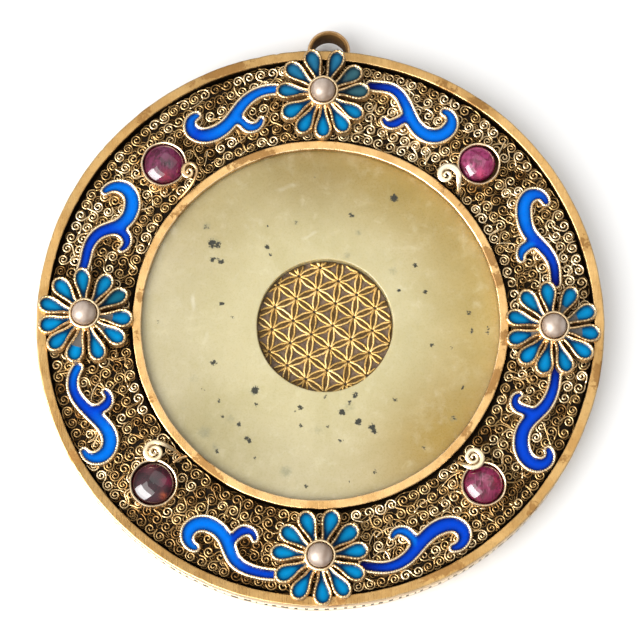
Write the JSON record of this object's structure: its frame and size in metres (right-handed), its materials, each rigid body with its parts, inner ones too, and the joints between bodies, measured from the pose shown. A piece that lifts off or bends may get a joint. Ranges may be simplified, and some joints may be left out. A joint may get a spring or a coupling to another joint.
{
  "type": "jade bi disc ornament",
  "caption": "Round pale jade disc with a centre hole, set in a gilt frame of filigree, enamel flowers and scrolls, cabochons and pearls, with a hanging loop.",
  "frame": {"origin": "centre of the flat underside, on which the piece lies", "axes": "+Z out of the decorated face, +Y towards the hanging loop, +X to the right seen from the face"},
  "size_m": [0.0898, 0.0937, 0.0111],
  "materials": {
    "gilt": "worn gilt silver with brown tarnish blotches and fine scratches",
    "pale_gilt": "pale polished gilt",
    "dark_gilt": "gilt wire over a darkened ground",
    "jade": "polished translucent pale yellow-green jade with cloudy streaks and dark specks",
    "turquoise_enamel": "glossy turquoise enamel, worn in places",
    "cobalt_enamel": "glossy blue enamel, shading from cobalt to azure",
    "garnet": "polished red-purple cabochon",
    "pearl": "grey lustrous pearl"
  },
  "bodies": {
    "root": {"frame_back": "gilt", "frame_wall": "gilt", "frame_bezel": "gilt", "filigree_panel": "dark_gilt", "back_plate": "dark_gilt", "jade_disc": "jade", "bail": "gilt", "flower_top": "turquoise_enamel", "pearl_top": "pearl", "flower_right": "turquoise_enamel", "pearl_right": "pearl", "flower_bottom": "turquoise_enamel", "pearl_bottom": "pearl", "flower_left": "turquoise_enamel", "pearl_left": "pearl", "scroll_1": "cobalt_enamel", "scroll_2": "cobalt_enamel", "scroll_3": "cobalt_enamel", "scroll_4": "cobalt_enamel", "scroll_5": "cobalt_enamel", "scroll_6": "cobalt_enamel", "scroll_7": "cobalt_enamel", "scroll_8": "cobalt_enamel", "collet_1": "pale_gilt", "stone_1": "garnet", "tendril_1": "pale_gilt", "collet_2": "pale_gilt", "stone_2": "garnet", "tendril_2": "pale_gilt", "collet_3": "pale_gilt", "stone_3": "garnet", "tendril_3": "pale_gilt", "collet_4": "pale_gilt", "stone_4": "garnet", "tendril_4": "pale_gilt"}
  },
  "joints": []
}
